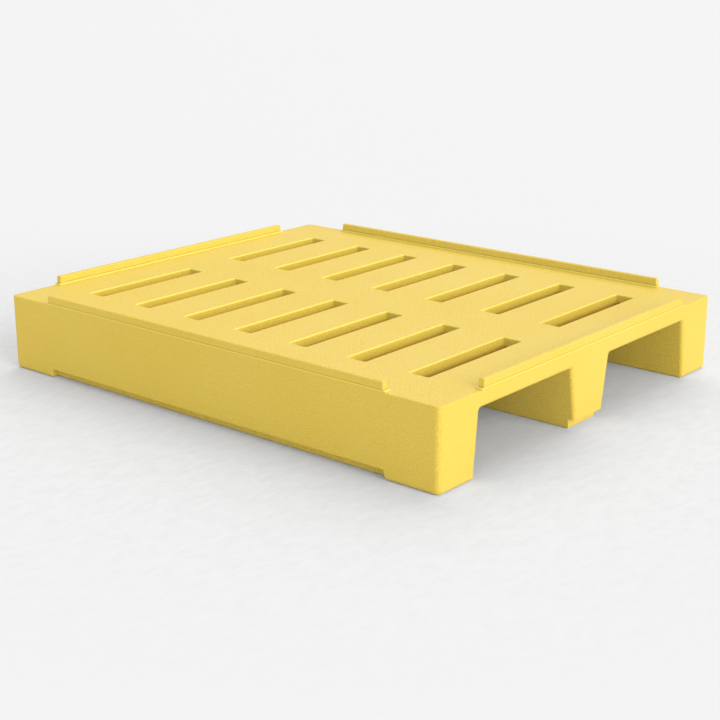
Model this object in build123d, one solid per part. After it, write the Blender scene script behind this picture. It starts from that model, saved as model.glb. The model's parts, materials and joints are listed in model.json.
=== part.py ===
from build123d import *
import math
import os

# Spill containment pallet. Millimetres. X runs along the fork tunnels, Y across them, Z up.
# The origin is the centre of the plan, on the floor.

# Overall form
LENGTH = 1200.0
WIDTH = 1000.0
DECK_HEIGHT = 168.0
CORNER_RADIUS = 12.0
DECK_EDGE_RADIUS = 3.0
FOOT_RADIUS = 4.0
WALL = 6.0

# Fork tunnels and the three runners between them
TUNNEL_ROOF = 134.0
SIDE_RUNNER_AT_ROOF = 120.0
SIDE_RUNNER_AT_FLOOR = 107.0
MIDDLE_RUNNER_AT_ROOF = 142.0
MIDDLE_RUNNER_AT_FLOOR = 97.0
TUNNEL_ROOF_RADIUS = 6.0
MOUTH_RADIUS = 9.0

# Stacking ridges along the middle of each deck edge, and the rebates under them
RIDGE_HEIGHT = 20.0
RIDGE_THICKNESS = 12.0
RIDGE_INSET = 128.0
RIDGE_END_DRAFT = 3.0
RIDGE_EDGE_RADIUS = 3.0
BEAD_WIDTH = 4.0
BEAD_HEIGHT = 3.5
BEAD_RADIUS = 2.5
REBATE_DEPTH = 17.0
REBATE_HEIGHT = 21.0
REBATE_INSET = 125.0
REBATE_END_DRAFT = 5.0

# Deck slots: one row over each tunnel, in the solid plate that joins the deck to the tunnel roof.
# Each is a trough with a low outlet through both its ends into the sumps of the runners.
SLOTS_PER_ROW = 7
SLOT_PITCH = 152.0
SLOT_WIDTH = 45.0
SLOT_LENGTH = 308.0
SLOT_ROW_CENTRE = 222.0
SLOT_CORNER_RADIUS = 4.0
SLOT_LIP_RADIUS = 3.0
SLOT_FLOOR_RADIUS = 4.0
SLOT_DRAFT_DEGREES = 1.5
SLOT_END_WALL = 6.0
OUTLET_HEIGHT = 9.0
OUTLET_WIDTH = 34.0

# Drains: one in the -X end of each runner, sunk in a pocket
POCKET_RADIUS = 30.0
POCKET_DEPTH = 22.0
POCKET_FLOOR = 10.0
BOSS_WALL = 8.0
POCKET_EDGE_RADIUS = 2.0
SIDE_DRAIN_Y = 445.0
SIDE_DRAIN_Z = 44.0
MIDDLE_DRAIN_Z = 60.0
INSERT_RADIUS = 20.0
INSERT_LENGTH = 20.0
INSERT_FLANGE_RADIUS = 25.0
INSERT_FLANGE_THICKNESS = 4.0
THREAD_RADIUS = 15.88
THREAD_CLEARANCE = 0.05
GASKET_RADIUS = 21.0
GASKET_THICKNESS = 3.0
GASKET_CLEARANCE = 0.3
PLUG_FLANGE_RADIUS = 22.0
PLUG_FLANGE_THICKNESS = 5.0
PLUG_SHANK_LENGTH = 20.0
PLUG_BORE_RADIUS = 12.0
PLUG_BORE_DEPTH = 18.0
PLUG_EDGE_RADIUS = 1.5
GRIP_LENGTH = 38.0
GRIP_THICKNESS = 10.0
GRIP_HEIGHT = 12.0

OVERCUT = 1.0
HALF_LENGTH = LENGTH / 2
HALF_WIDTH = WIDTH / 2
RIDGE_TOP = DECK_HEIGHT + RIDGE_HEIGHT
SLOT_FLOOR = TUNNEL_ROOF + WALL
PLATE_HALF_WIDTH = SLOT_LENGTH / 2 + SLOT_END_WALL
POCKET_FLOOR_X = -HALF_LENGTH + POCKET_DEPTH
INSERT_FLANGE_X = POCKET_FLOOR_X + (POCKET_FLOOR - INSERT_FLANGE_THICKNESS) / 2
DRAINS = {
    "left": (SIDE_DRAIN_Y, SIDE_DRAIN_Z),
    "middle": (0.0, MIDDLE_DRAIN_Z),
    "right": (-SIDE_DRAIN_Y, SIDE_DRAIN_Z),
}


def block(x_span, y_span, z_span):
    """A box given by its lowest and highest value along each axis."""
    size = [span[1] - span[0] for span in (x_span, y_span, z_span)]
    centre = [(span[0] + span[1]) / 2 for span in (x_span, y_span, z_span)]
    return Pos(*centre) * Box(*size)


def tunnel(side, inset):
    """The fork tunnel on one side of the middle runner, grown by inset into its walls and roof."""
    drop = OVERCUT / TUNNEL_ROOF
    side_slope = SIDE_RUNNER_AT_ROOF - SIDE_RUNNER_AT_FLOOR
    middle_slope = (MIDDLE_RUNNER_AT_ROOF - MIDDLE_RUNNER_AT_FLOOR) / 2
    roof = TUNNEL_ROOF + inset
    rise = roof / TUNNEL_ROOF
    outer_floor = HALF_WIDTH - SIDE_RUNNER_AT_FLOOR + inset
    inner_floor = MIDDLE_RUNNER_AT_FLOOR / 2 - inset
    outline = Polyline(
        (outer_floor + side_slope * drop, -OVERCUT),
        (outer_floor - side_slope * rise, roof),
        (inner_floor + middle_slope * rise, roof),
        (inner_floor - middle_slope * drop, -OVERCUT),
        close=True,
    )
    section = make_face(outline)
    if inset == 0:
        section = fillet(section.vertices().sort_by(Axis.Y)[-2:], TUNNEL_ROOF_RADIUS)
    prism = extrude(Plane.YZ * section, amount=HALF_LENGTH + OVERCUT, both=True)
    return prism if side > 0 else mirror(prism, about=Plane.XZ)


def edge_bar(half_run, depth, z_span, end_draft):
    """A bar along the -Y deck edge, drafted at its ends, outer face on the wall of the pallet."""
    low, high = z_span
    outline = Polyline(
        (-half_run, low),
        (half_run, low),
        (half_run - end_draft, high),
        (-half_run + end_draft, high),
        close=True,
    )
    face = make_face(Plane.XZ * outline)
    return Pos(0, depth, 0) * extrude(face, amount=depth, dir=(0, -1, 0))


def on_each_side(make):
    """One solid per side of the pallet, from a function of the side's half length."""
    long_bar = Pos(0, -HALF_WIDTH, 0) * make(HALF_LENGTH)
    short_bar = Pos(-HALF_LENGTH, 0, 0) * Rot(0, 0, -90) * make(HALF_WIDTH)
    return [
        long_bar,
        mirror(long_bar, about=Plane.XZ),
        short_bar,
        mirror(short_bar, about=Plane.YZ),
    ]


def ridge(half_side):
    """An upstand that locates the pallet stacked above, with a small bead along its foot."""
    half_run = half_side - RIDGE_INSET
    root = DECK_HEIGHT - DECK_EDGE_RADIUS - OVERCUT
    bar = edge_bar(half_run, RIDGE_THICKNESS, (root, RIDGE_TOP), RIDGE_END_DRAFT)
    top_edges = bar.faces().sort_by(Axis.Z)[-1].edges()
    bar = fillet(top_edges, RIDGE_EDGE_RADIUS)
    bead = edge_bar(
        half_run + BEAD_WIDTH,
        RIDGE_THICKNESS + BEAD_WIDTH,
        (root, DECK_HEIGHT + BEAD_HEIGHT),
        0.0,
    )
    bead_edges = bead.faces().sort_by(Axis.Z)[-1].edges().sort_by(Axis.Y)[1:]
    bead = fillet(bead_edges, BEAD_RADIUS)
    return bar + bead


def rebate(half_side, inset):
    """The notch under a side that takes the ridge of the pallet below, grown by inset."""
    half_run = half_side - REBATE_INSET
    slope = REBATE_END_DRAFT / REBATE_HEIGHT
    top = REBATE_HEIGHT + inset
    bar = edge_bar(
        half_run + inset + slope * OVERCUT,
        REBATE_DEPTH + inset + OVERCUT,
        (-OVERCUT, top),
        slope * (top + OVERCUT),
    )
    return Pos(0, -OVERCUT, 0) * bar


def slot_places():
    """The centre of each deck slot in plan."""
    middle = (SLOTS_PER_ROW - 1) / 2
    return [
        ((index - middle) * SLOT_PITCH, row * SLOT_ROW_CENTRE)
        for row in (-1, 1)
        for index in range(SLOTS_PER_ROW)
    ]


def slot_cut():
    """The inside of one trough, narrowing downwards, with a rounded floor edge."""
    mouth = RectangleRounded(SLOT_WIDTH, SLOT_LENGTH, SLOT_CORNER_RADIUS)
    trough = extrude(
        Pos(0, 0, DECK_HEIGHT) * mouth,
        amount=DECK_HEIGHT - SLOT_FLOOR,
        dir=(0, 0, -1),
        taper=SLOT_DRAFT_DEGREES,
    )
    return fillet(trough.faces().sort_by(Axis.Z)[0].edges(), SLOT_FLOOR_RADIUS)


def slot_outlets():
    """The window low in both end walls of a trough, through which it drains into the runners."""
    reach = PLATE_HALF_WIDTH + OVERCUT
    half_width = OUTLET_WIDTH / 2
    window = (SLOT_FLOOR, SLOT_FLOOR + OUTLET_HEIGHT)
    return block((-half_width, half_width), (-reach, reach), window)


def rod(radius, start_x, end_x):
    """A round bar on the X axis."""
    return Pos(start_x, 0, 0) * Rot(0, 90, 0) * Cylinder(
        radius, end_x - start_x, align=(Align.CENTER, Align.CENTER, Align.MIN)
    )


def drain_place(name):
    y, z = DRAINS[name]
    return Pos(0, y, z)


def insert_form(front_x):
    """The outside of a drain's bushing from front_x inwards, with the flange that keys it."""
    barrel = rod(INSERT_RADIUS, front_x, POCKET_FLOOR_X + INSERT_LENGTH)
    flange_end = INSERT_FLANGE_X + INSERT_FLANGE_THICKNESS
    return barrel + rod(INSERT_FLANGE_RADIUS, INSERT_FLANGE_X, flange_end)


def drain_insert():
    """Threaded bushing moulded into the pocket floor, its flange buried in the wall."""
    bore_radius = THREAD_RADIUS + THREAD_CLEARANCE
    bore = rod(bore_radius, POCKET_FLOOR_X - OVERCUT, POCKET_FLOOR_X + INSERT_LENGTH + OVERCUT)
    return insert_form(POCKET_FLOOR_X) - bore


def drain_gasket():
    """Flat sealing washer between the plug's flange and the pocket floor."""
    start = POCKET_FLOOR_X - GASKET_THICKNESS
    ring = rod(GASKET_RADIUS, start, POCKET_FLOOR_X)
    hole_radius = THREAD_RADIUS + GASKET_CLEARANCE
    return ring - rod(hole_radius, start - OVERCUT, POCKET_FLOOR_X + OVERCUT)


def drain_plug():
    """Hollow threaded plug with a flange and a bar grip."""
    flange_back = POCKET_FLOOR_X - GASKET_THICKNESS
    flange_front = flange_back - PLUG_FLANGE_THICKNESS
    shank_end = flange_back + PLUG_SHANK_LENGTH
    plug = rod(PLUG_FLANGE_RADIUS, flange_front, flange_back)
    plug = fillet(plug.edges().sort_by(Axis.X)[0], PLUG_EDGE_RADIUS)
    plug += rod(THREAD_RADIUS, flange_back, shank_end)
    plug -= rod(PLUG_BORE_RADIUS, shank_end - PLUG_BORE_DEPTH, shank_end + OVERCUT)
    grip_plan = SlotOverall(GRIP_LENGTH, GRIP_THICKNESS)
    grip = extrude(Plane.YZ * grip_plan, amount=GRIP_HEIGHT, dir=(-1, 0, 0))
    grip = fillet(grip.faces().sort_by(Axis.X)[0].edges(), PLUG_EDGE_RADIUS)
    return plug + Pos(flange_front, 0, 0) * grip


def outer_form():
    """The pallet's outside, without slots or drains."""
    form = extrude(RectangleRounded(LENGTH, WIDTH, CORNER_RADIUS), amount=DECK_HEIGHT)
    form = fillet(form.faces().sort_by(Axis.Z)[-1].edges(), DECK_EDGE_RADIUS)
    for side in (-1, 1):
        form -= tunnel(side, 0)
    mouth_edges = [
        edge
        for edge in form.edges().filter_by(GeomType.LINE)
        if abs(edge.center().X) > HALF_LENGTH - OVERCUT
        and abs(edge.center().Y) < HALF_WIDTH - OVERCUT
        and TUNNEL_ROOF / 2 < edge.length < TUNNEL_ROOF * 2
    ]
    form = fillet(mouth_edges, MOUTH_RADIUS)
    for notch in on_each_side(lambda half_side: rebate(half_side, 0)):
        form -= notch
    foot_edges = form.faces().filter_by(Axis.Z).sort_by(Axis.Z)[:3].edges()
    return fillet(foot_edges, FOOT_RADIUS)


def cavity():
    """The sump: the space inside the wall, one in each runner, open to the troughs' outlets."""
    inner = extrude(
        Pos(0, 0, WALL)
        * RectangleRounded(LENGTH - 2 * WALL, WIDTH - 2 * WALL, CORNER_RADIUS - WALL),
        amount=DECK_HEIGHT - 2 * WALL,
    )
    for side in (-1, 1):
        inner -= tunnel(side, WALL)
    for notch in on_each_side(lambda half_side: rebate(half_side, WALL)):
        inner -= notch
    for row in (-SLOT_ROW_CENTRE, SLOT_ROW_CENTRE):
        plate_sides = (row - PLATE_HALF_WIDTH, row + PLATE_HALF_WIDTH)
        inner -= block((-HALF_LENGTH, HALF_LENGTH), plate_sides, (TUNNEL_ROOF, DECK_HEIGHT))
    boss = rod(POCKET_RADIUS + BOSS_WALL, -HALF_LENGTH, POCKET_FLOOR_X + POCKET_FLOOR)
    for name in DRAINS:
        inner -= drain_place(name) * boss
    return inner


def pallet_body():
    body = outer_form()
    for bar in on_each_side(ridge):
        body += bar
    slot = slot_cut()
    outlets = slot_outlets()
    pocket = rod(POCKET_RADIUS, -HALF_LENGTH - OVERCUT, POCKET_FLOOR_X)
    body -= [Pos(x, y, 0) * slot for x, y in slot_places()]
    deck = body.faces().filter_by(Axis.Z).filter_by_position(Axis.Z, DECK_HEIGHT, DECK_HEIGHT)
    lips = [edge for wire in deck.sort_by(SortBy.AREA)[-1].inner_wires() for edge in wire.edges()]
    body = fillet(lips, SLOT_LIP_RADIUS)
    body -= [drain_place(name) * pocket for name in DRAINS]
    pocket_mouths = [
        edge
        for edge in body.edges().filter_by(GeomType.CIRCLE)
        if edge.center().X < -HALF_LENGTH + OVERCUT and abs(edge.radius - POCKET_RADIUS) < OVERCUT
    ]
    body = fillet(pocket_mouths, POCKET_EDGE_RADIUS)
    body -= cavity()
    body -= [Pos(x, y, 0) * outlets for x, y in slot_places()]
    seat = insert_form(POCKET_FLOOR_X - OVERCUT)
    body -= [drain_place(name) * seat for name in DRAINS]
    return body


def main():
    os.makedirs("parts", exist_ok=True)
    nodes = {"pallet_body": pallet_body()}
    for name in DRAINS:
        nodes["drain_insert_" + name] = drain_place(name) * drain_insert()
        nodes["drain_gasket_" + name] = drain_place(name) * drain_gasket()
        nodes["drain_plug_" + name] = drain_place(name) * drain_plug()
    for name, shape in nodes.items():
        export_step(shape, "parts/" + name + ".step")
        print(name, len(shape.solids()), "solid(s)", round(shape.volume / 1000, 1), "cm3")


main()
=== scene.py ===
import json
import math

import bpy
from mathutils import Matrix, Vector

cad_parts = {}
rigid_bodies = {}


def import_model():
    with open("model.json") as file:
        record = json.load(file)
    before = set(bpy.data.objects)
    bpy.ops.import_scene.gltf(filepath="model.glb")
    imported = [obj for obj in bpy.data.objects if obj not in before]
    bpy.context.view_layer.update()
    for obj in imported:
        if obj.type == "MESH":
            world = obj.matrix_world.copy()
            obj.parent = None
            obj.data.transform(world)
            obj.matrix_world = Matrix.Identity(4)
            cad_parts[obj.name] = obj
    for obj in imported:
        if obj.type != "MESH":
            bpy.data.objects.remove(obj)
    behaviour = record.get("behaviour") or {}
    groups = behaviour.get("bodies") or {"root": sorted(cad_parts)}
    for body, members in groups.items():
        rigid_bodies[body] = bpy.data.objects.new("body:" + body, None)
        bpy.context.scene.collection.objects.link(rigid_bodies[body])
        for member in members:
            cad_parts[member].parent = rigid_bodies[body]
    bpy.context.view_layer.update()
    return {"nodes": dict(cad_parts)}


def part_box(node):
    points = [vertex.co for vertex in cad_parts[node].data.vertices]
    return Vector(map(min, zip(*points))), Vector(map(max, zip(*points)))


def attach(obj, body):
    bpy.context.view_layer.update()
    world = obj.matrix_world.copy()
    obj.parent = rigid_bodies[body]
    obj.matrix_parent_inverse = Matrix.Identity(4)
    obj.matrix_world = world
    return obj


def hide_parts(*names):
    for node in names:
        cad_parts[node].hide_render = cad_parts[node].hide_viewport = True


# Spill containment pallet: the looks. Metres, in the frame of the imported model.

# The camera stands in front of the pallet's -Y, +X corner.
CAMERA_AZIMUTH = math.radians(39.97)
CAMERA_ELEVATION = math.radians(17.23)
CAMERA_DISTANCE = 3.42
CAMERA_TARGET = Vector((-0.0597, 0.0695, -0.0119))
CAMERA_LENS_MM = 73.33
CAMERA_SENSOR_MM = 36.0

# Linear colours
YELLOW = (0.893, 0.644, 0.092, 1.0)
YELLOW_PALE = (0.908, 0.659, 0.102, 1.0)
YELLOW_DEEP = (0.878, 0.628, 0.083, 1.0)
# painted highlight for the slot lips and the tops of the ridge-foot beads
YELLOW_PAINTED_HIGHLIGHT = (0.92, 0.76, 0.12, 1.0)
BOUNCE = (0.72, 0.70, 0.63, 1.0)
# painted shade down the slot walls
SLOT_SHADE = (0.50, 0.41, 0.32, 1.0)
SLOT_HALF_SHADE = (1.0, 0.97, 0.90, 1.0)
# painted shade line above each ridge-foot bead
BEAD_PAINTED_SHADE = (0.82, 0.78, 0.72, 1.0)
SPECK = (0.86, 0.86, 0.83, 1.0)
WHITE = (1.0, 1.0, 1.0, 1.0)
BLACK = (0.0, 0.0, 0.0, 1.0)
FLOOR_PALE = (0.79, 0.79, 0.79, 1.0)
FLOOR_GREY = (0.715, 0.715, 0.715, 1.0)
MOTTLE_FULL = 0.75
MOTTLE_GONE = 1.6

# The field of the deck that holds the slots, and the depth over which painted shade darkens their walls
SLOT_FIELD_X = 0.50
SLOT_FIELD_Y = 0.40
SLOT_DEPTH = 0.028
SLOT_FLOOR_MARGIN = 0.002
RIDGE_HEIGHT = 0.020
RIDGE_FOOT_HEIGHT = 0.008

# Drain plugs, about their own axis: u runs outwards from the back of the flange
PLUG_FLANGE_RADIUS = 0.022
PLUG_FLANGE_THICKNESS = 0.005
PLUG_EDGE_RADIUS = 0.0015
PLUG_SHANK_LENGTH = 0.020
PLUG_BORE_RADIUS = 0.012
PLUG_BORE_DEPTH = 0.018
THREAD_CREST = 0.01588
THREAD_ROOT = 0.01488
THREAD_PITCH = 0.002309
THREAD_RUN_OUT = 0.002
GRIP_HALF_LENGTH = 0.019
GRIP_HALF_THICKNESS = 0.005
GRIP_HEIGHT = 0.012
GRIP_SINK = 0.001
RING_POINTS = 96
ROWS_PER_PITCH = 12
EDGE_STEPS = 5
SHARP_ANGLE = math.radians(35.0)

# Light: a white dome and two broad suns, each given by the irradiance it brings along X, Y and Z.
DOME_STRENGTH = 0.67
KEY_IRRADIANCE = Vector((0.62, -0.06, 0.22))
KEY_SPREAD = math.radians(50.0)
BACK_IRRADIANCE = Vector((-0.08, 0.20, 0.25))
BACK_SPREAD = math.radians(60.0)
FLOOR_HALF = 60.0


def new_material(name):
    """An empty node material with its Principled shader wired to the output."""
    material = bpy.data.materials.new(name)
    material.use_nodes = True
    tree = material.node_tree
    tree.nodes.clear()
    shader = tree.nodes.new("ShaderNodeBsdfPrincipled")
    output = tree.nodes.new("ShaderNodeOutputMaterial")
    tree.links.new(shader.outputs["BSDF"], output.inputs["Surface"])
    return material, tree, shader


def noise(tree, coords, scale, detail=2.0, roughness=0.5):
    node = tree.nodes.new("ShaderNodeTexNoise")
    node.inputs["Scale"].default_value = scale
    node.inputs["Detail"].default_value = detail
    node.inputs["Roughness"].default_value = roughness
    tree.links.new(coords, node.inputs["Vector"])
    return node.outputs["Fac"]


def ramp(tree, factor, stops):
    """A colour ramp from (position, colour) stops."""
    node = tree.nodes.new("ShaderNodeValToRGB")
    elements = node.color_ramp.elements
    while len(elements) < len(stops):
        elements.new(0.5)
    for element, (position, colour) in zip(elements, stops):
        element.position = position
        element.color = colour
    tree.links.new(factor, node.inputs["Fac"])
    return node.outputs["Color"]


def mix_colour(tree, factor, first, second, blend_type="MIX"):
    node = tree.nodes.new("ShaderNodeMix")
    node.data_type = "RGBA"
    node.blend_type = blend_type
    if isinstance(factor, float):
        node.inputs["Factor"].default_value = factor
    else:
        tree.links.new(factor, node.inputs["Factor"])
    for socket, value in (("A", first), ("B", second)):
        target = [s for s in node.inputs if s.name == socket and s.type == "RGBA"][0]
        if isinstance(value, tuple):
            target.default_value = value
        else:
            tree.links.new(value, target)
    return [s for s in node.outputs if s.type == "RGBA"][0]


def bump(tree, height, distance, strength=1.0, below=None):
    node = tree.nodes.new("ShaderNodeBump")
    node.inputs["Distance"].default_value = distance
    node.inputs["Strength"].default_value = strength
    tree.links.new(height, node.inputs["Height"])
    if below is not None:
        tree.links.new(below, node.inputs["Normal"])
    return node.outputs["Normal"]


def map_range(tree, value, low, high, to_low, to_high):
    node = tree.nodes.new("ShaderNodeMapRange")
    for socket, number in (
        ("From Min", low), ("From Max", high), ("To Min", to_low), ("To Max", to_high)
    ):
        node.inputs[socket].default_value = number
    tree.links.new(value, node.inputs["Value"])
    return node.outputs["Result"]


def object_coords(tree):
    return tree.nodes.new("ShaderNodeTexCoord").outputs["Object"]


def math_node(tree, operation, first, second=None):
    """One Math node; an input is a socket or a number."""
    node = tree.nodes.new("ShaderNodeMath")
    node.operation = operation
    for index, value in enumerate((first, second)):
        if isinstance(value, float):
            node.inputs[index].default_value = value
        elif value is not None:
            tree.links.new(value, node.inputs[index])
    return node.outputs["Value"]


def split_axes(tree, coords):
    node = tree.nodes.new("ShaderNodeSeparateXYZ")
    tree.links.new(coords, node.inputs["Vector"])
    return node.outputs


def slot_zone(tree, axes, deck):
    """Height inside the slots as 0 at their floor to 1 at the deck, and 1 outside their field."""
    height = map_range(tree, axes["Z"], deck - SLOT_DEPTH, deck, 0.0, 1.0)
    beyond = [
        math_node(tree, "GREATER_THAN", math_node(tree, "ABSOLUTE", axes[axis]), limit)
        for axis, limit in (("X", SLOT_FIELD_X), ("Y", SLOT_FIELD_Y))
    ]
    below = math_node(tree, "LESS_THAN", axes["Z"], deck - SLOT_DEPTH - SLOT_FLOOR_MARGIN)
    outside = math_node(tree, "MAXIMUM", math_node(tree, "MAXIMUM", *beyond), below)
    return math_node(tree, "MAXIMUM", height, outside)


def moulded_yellow():
    """Rotationally moulded polyethylene: orange peel, fine grain and slightly uneven colour, with
    painted highlights on the slot lips and bead tops and painted shade in the slots and above the beads.
    """
    material, tree, shader = new_material("moulded_yellow_polyethylene")
    coords = object_coords(tree)
    cloud = noise(tree, coords, 3.0, detail=3.0)
    base = ramp(tree, cloud, [(0.3, YELLOW_DEEP), (0.5, YELLOW), (0.7, YELLOW_PALE)])
    speck = noise(tree, coords, 380.0, detail=1.0)
    speckle = ramp(tree, speck, [(0.35, SPECK), (0.65, WHITE)])
    colour = mix_colour(tree, 1.0, base, speckle, "MULTIPLY")
    axes = split_axes(tree, coords)
    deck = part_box("pallet_body")[1][2] - RIDGE_HEIGHT
    # the rounded lips of the slots get a painted highlight, and their walls get painted shade, darker
    # downwards
    zone = slot_zone(tree, axes, deck)
    lip_highlight = ramp(tree, zone, [(0.88, BLACK), (0.93, WHITE), (0.992, WHITE), (0.998, BLACK)])
    colour = mix_colour(tree, lip_highlight, colour, YELLOW_PAINTED_HIGHLIGHT)
    shade = ramp(tree, zone, [(0.10, SLOT_SHADE), (0.45, SLOT_HALF_SHADE), (0.85, WHITE)])
    # the bead along the foot of each ridge gets a painted highlight on its top and a painted shade line
    # above it
    foot = map_range(tree, axes["Z"], deck, deck + RIDGE_FOOT_HEIGHT, 0.0, 1.0)
    bead_highlight = ramp(tree, foot, [(0.12, BLACK), (0.22, WHITE), (0.40, WHITE), (0.45, BLACK)])
    colour = mix_colour(tree, bead_highlight, colour, YELLOW_PAINTED_HIGHLIGHT)
    bead_shade_line = ramp(tree, foot, [(0.44, WHITE), (0.48, BEAD_PAINTED_SHADE), (0.62, BEAD_PAINTED_SHADE), (0.80, WHITE)])
    shade = mix_colour(tree, 1.0, shade, bead_shade_line, "MULTIPLY")
    # what the shell throws on its surroundings is kept near neutral, as a corrected picture has it
    bounced = tree.nodes.new("ShaderNodeLightPath").outputs["Is Diffuse Ray"]
    seen = mix_colour(tree, bounced, colour, BOUNCE)
    shaded = mix_colour(tree, 1.0, seen, shade, "MULTIPLY")
    tree.links.new(shaded, shader.inputs["Base Color"])
    tree.links.new(map_range(tree, cloud, 0.3, 0.7, 0.50, 0.42), shader.inputs["Roughness"])
    peel = bump(tree, noise(tree, coords, 200.0, detail=3.0, roughness=0.65), 0.0018)
    grain = bump(tree, speck, 0.0006, below=peel)
    tree.links.new(grain, shader.inputs["Normal"])
    shader.inputs["Specular IOR Level"].default_value = 0.26
    return material


def black_plastic():
    material, tree, shader = new_material("black_moulded_plastic")
    coords = object_coords(tree)
    cloud = noise(tree, coords, 60.0, detail=3.0)
    base = ramp(tree, cloud, [(0.3, (0.012, 0.012, 0.013, 1.0)), (0.7, (0.022, 0.022, 0.023, 1.0))])
    tree.links.new(base, shader.inputs["Base Color"])
    tree.links.new(map_range(tree, cloud, 0.3, 0.7, 0.38, 0.5), shader.inputs["Roughness"])
    tree.links.new(bump(tree, noise(tree, coords, 900.0), 0.00008), shader.inputs["Normal"])
    return material


def black_rubber():
    material, tree, shader = new_material("black_rubber")
    coords = object_coords(tree)
    cloud = noise(tree, coords, 90.0, detail=4.0)
    base = ramp(tree, cloud, [(0.3, (0.018, 0.018, 0.018, 1.0)), (0.7, (0.035, 0.034, 0.033, 1.0))])
    tree.links.new(base, shader.inputs["Base Color"])
    tree.links.new(map_range(tree, cloud, 0.3, 0.7, 0.75, 0.9), shader.inputs["Roughness"])
    tree.links.new(bump(tree, noise(tree, coords, 1400.0), 0.00006), shader.inputs["Normal"])
    return material


def studio_floor():
    """Pale screed with a faint mottle around the pallet that fades with distance."""
    material, tree, shader = new_material("pale_floor")
    coords = object_coords(tree)
    stretch = tree.nodes.new("ShaderNodeMapping")
    stretch.inputs["Scale"].default_value = (1.0, 0.45, 1.0)
    stretch.inputs["Rotation"].default_value = (0.0, 0.0, math.radians(-32.0))
    tree.links.new(coords, stretch.inputs["Vector"])
    mottle = noise(tree, stretch.outputs["Vector"], 44.0, detail=9.0, roughness=0.8)
    mottled = ramp(tree, mottle, [(0.30, FLOOR_GREY), (0.58, FLOOR_PALE)])
    reach = tree.nodes.new("ShaderNodeVectorMath")
    reach.operation = "LENGTH"
    tree.links.new(coords, reach.inputs[0])
    fade = map_range(tree, reach.outputs["Value"], MOTTLE_FULL, MOTTLE_GONE, 0.0, 1.0)
    base = mix_colour(tree, fade, mottled, FLOOR_PALE)
    tree.links.new(base, shader.inputs["Base Color"])
    shader.inputs["Roughness"].default_value = 0.85
    shader.inputs["Specular IOR Level"].default_value = 0.2
    return material


def cover(node, material):
    """Gives a CAD node one material."""
    slots = frame["nodes"][node].data.materials
    slots.clear()
    slots.append(material)


def edge_arc():
    """A quarter round as shares of its radius gone inwards and gone along the axis."""
    angles = [math.pi / 2 * step / EDGE_STEPS for step in range(EDGE_STEPS + 1)]
    return [(1.0 - math.cos(angle), math.sin(angle)) for angle in angles]


def thread_radius(u, turn):
    """The shank's radius at u along the axis and turn around it, running out at both ends."""
    wave = 0.5 + 0.7 * math.cos(math.tau * (u / THREAD_PITCH - turn))
    depth_in = -u
    fade = min(depth_in, PLUG_SHANK_LENGTH - depth_in) / THREAD_RUN_OUT
    height = min(max(wave, 0.0), 1.0) * min(max(fade, 0.0), 1.0)
    return THREAD_ROOT + (THREAD_CREST - THREAD_ROOT) * height


def plug_rings():
    """The turned outline of a plug as rings of (u, radius at each turn), front face to bore floor."""
    def even(u, radius):
        return u, [radius] * RING_POINTS

    flat = PLUG_FLANGE_RADIUS - PLUG_EDGE_RADIUS
    shoulder = PLUG_FLANGE_THICKNESS - PLUG_EDGE_RADIUS
    rings = [
        even(shoulder + PLUG_EDGE_RADIUS * along, flat + PLUG_EDGE_RADIUS * (1.0 - inwards))
        for inwards, along in reversed(edge_arc())
    ]
    rings.append(even(0.0, PLUG_FLANGE_RADIUS))
    rows = math.ceil(PLUG_SHANK_LENGTH / THREAD_PITCH * ROWS_PER_PITCH)
    for row in range(rows + 1):
        u = -PLUG_SHANK_LENGTH * row / rows
        rings.append((u, [thread_radius(u, point / RING_POINTS) for point in range(RING_POINTS)]))
    rings.append(even(-PLUG_SHANK_LENGTH, PLUG_BORE_RADIUS))
    rings.append(even(PLUG_BORE_DEPTH - PLUG_SHANK_LENGTH, PLUG_BORE_RADIUS))
    return rings


def closed_mesh(name, loops):
    """A closed mesh from loops of equal length, outermost first; the first and last are capped."""
    count = len(loops[0])
    faces = [tuple(range(count))]
    for start in range(0, (len(loops) - 1) * count, count):
        for point in range(count):
            after = (point + 1) % count
            faces.append((start + after, start + point, start + count + point, start + count + after))
    faces.append(tuple(reversed(range((len(loops) - 1) * count, len(loops) * count))))
    mesh = bpy.data.meshes.new(name)
    mesh.from_pydata([point for loop in loops for point in loop], [], faces)
    return mesh


def turned_body(centre):
    loops = [
        [
            centre + Vector((
                -u,
                radius * math.cos(math.tau * point / RING_POINTS),
                -radius * math.sin(math.tau * point / RING_POINTS),
            ))
            for point, radius in enumerate(radii)
        ]
        for u, radii in plug_rings()
    ]
    return closed_mesh("turned_body", loops)


def grip_bar(centre):
    """The bar grip: a stadium in plan with a rounded front edge, sunk a little in the flange."""
    def stadium(u, inset):
        radius = GRIP_HALF_THICKNESS - inset
        straight = GRIP_HALF_LENGTH - GRIP_HALF_THICKNESS
        loop = []
        for point in range(RING_POINTS):
            angle = math.tau * (point + 0.5) / RING_POINTS
            end = straight if math.cos(angle) > 0.0 else -straight
            loop.append(centre + Vector((-u, end + radius * math.cos(angle), -radius * math.sin(angle))))
        return loop

    front = PLUG_FLANGE_THICKNESS + GRIP_HEIGHT - PLUG_EDGE_RADIUS
    loops = [
        stadium(front + PLUG_EDGE_RADIUS * along, PLUG_EDGE_RADIUS * inwards)
        for inwards, along in reversed(edge_arc())
    ]
    loops.append(stadium(PLUG_FLANGE_THICKNESS - GRIP_SINK, 0.0))
    return closed_mesh("grip_bar", loops)


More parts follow.
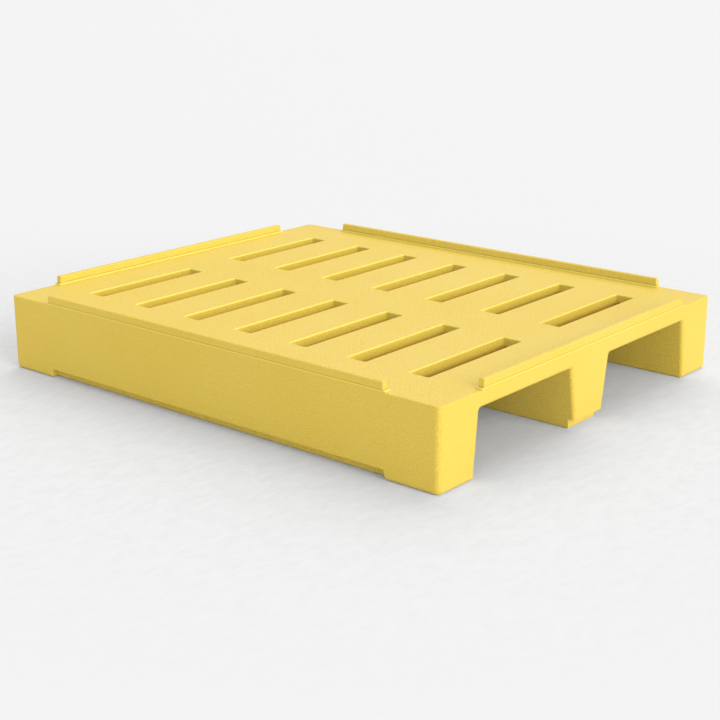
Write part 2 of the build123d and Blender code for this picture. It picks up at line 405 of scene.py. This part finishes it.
def screw_plug(place, material):
    """A drain plug with a helical thread, in place of its CAD solid."""
    low, high = (Vector(corner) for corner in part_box("drain_plug_" + place))
    back_of_flange = high.x - PLUG_SHANK_LENGTH
    centre = Vector((back_of_flange, (low.y + high.y) / 2, (low.z + high.z) / 2))
    plug = bpy.data.objects.new("screw_plug_" + place, turned_body(centre))
    grip = bpy.data.objects.new("grip", grip_bar(centre))
    for piece in (plug, grip):
        bpy.context.scene.collection.objects.link(piece)
    union = plug.modifiers.new("grip", "BOOLEAN")
    union.operation = "UNION"
    union.solver = "EXACT"
    union.object = grip
    joined = bpy.data.meshes.new_from_object(plug.evaluated_get(bpy.context.evaluated_depsgraph_get()))
    plug.modifiers.clear()
    plug.data = joined
    bpy.data.objects.remove(grip)
    joined.shade_smooth()
    joined.set_sharp_from_angle(angle=SHARP_ANGLE)
    joined.materials.clear()
    joined.materials.append(material)
    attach(plug, place + "_plug")
    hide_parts("drain_plug_" + place)


def build_stage():
    half = FLOOR_HALF
    mesh = bpy.data.meshes.new("studio_floor")
    corners = [(-half, -half, 0.0), (half, -half, 0.0), (half, half, 0.0), (-half, half, 0.0)]
    mesh.from_pydata(corners, [], [(0, 1, 2, 3)])
    floor = bpy.data.objects.new("studio_floor", mesh)
    bpy.context.scene.collection.objects.link(floor)
    floor.data.materials.append(studio_floor())


def look_at(obj, place, target):
    obj.location = place
    obj.rotation_euler = (Vector(target) - Vector(place)).to_track_quat("-Z", "Y").to_euler()


def sun(name, irradiance, spread):
    """A broad sun from the direction of its irradiance."""
    light = bpy.data.lights.new(name, "SUN")
    light.energy = irradiance.length * math.pi
    light.angle = spread
    lamp = bpy.data.objects.new(name, light)
    bpy.context.scene.collection.objects.link(lamp)
    look_at(lamp, irradiance.normalized() * 5.0, (0.0, 0.0, 0.0))


def build_lights():
    world = bpy.data.worlds.new("studio")
    world.use_nodes = True
    background = world.node_tree.nodes["Background"]
    background.inputs["Color"].default_value = (1.0, 1.0, 1.0, 1.0)
    background.inputs["Strength"].default_value = DOME_STRENGTH
    bpy.context.scene.world = world
    sun("key", KEY_IRRADIANCE, KEY_SPREAD)
    sun("back", BACK_IRRADIANCE, BACK_SPREAD)


def build_camera():
    data = bpy.data.cameras.new("camera")
    data.lens = CAMERA_LENS_MM
    data.sensor_width = CAMERA_SENSOR_MM
    camera = bpy.data.objects.new("camera", data)
    bpy.context.scene.collection.objects.link(camera)
    flat = math.cos(CAMERA_ELEVATION)
    away = Vector((
        math.sin(CAMERA_AZIMUTH) * flat,
        -math.cos(CAMERA_AZIMUTH) * flat,
        math.sin(CAMERA_ELEVATION),
    ))
    look_at(camera, CAMERA_TARGET + away * CAMERA_DISTANCE, CAMERA_TARGET)
    bpy.context.scene.camera = camera


for stray in list(bpy.data.objects):
    bpy.data.objects.remove(stray)
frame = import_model()

yellow = moulded_yellow()
black = black_plastic()
rubber = black_rubber()
cover("pallet_body", yellow)
for place in ("left", "middle", "right"):
    cover("drain_insert_" + place, black)
    cover("drain_plug_" + place, black)
    screw_plug(place, black)
    cover("drain_gasket_" + place, rubber)

build_stage()
build_lights()
build_camera()
bpy.context.scene.view_settings.view_transform = "Standard"
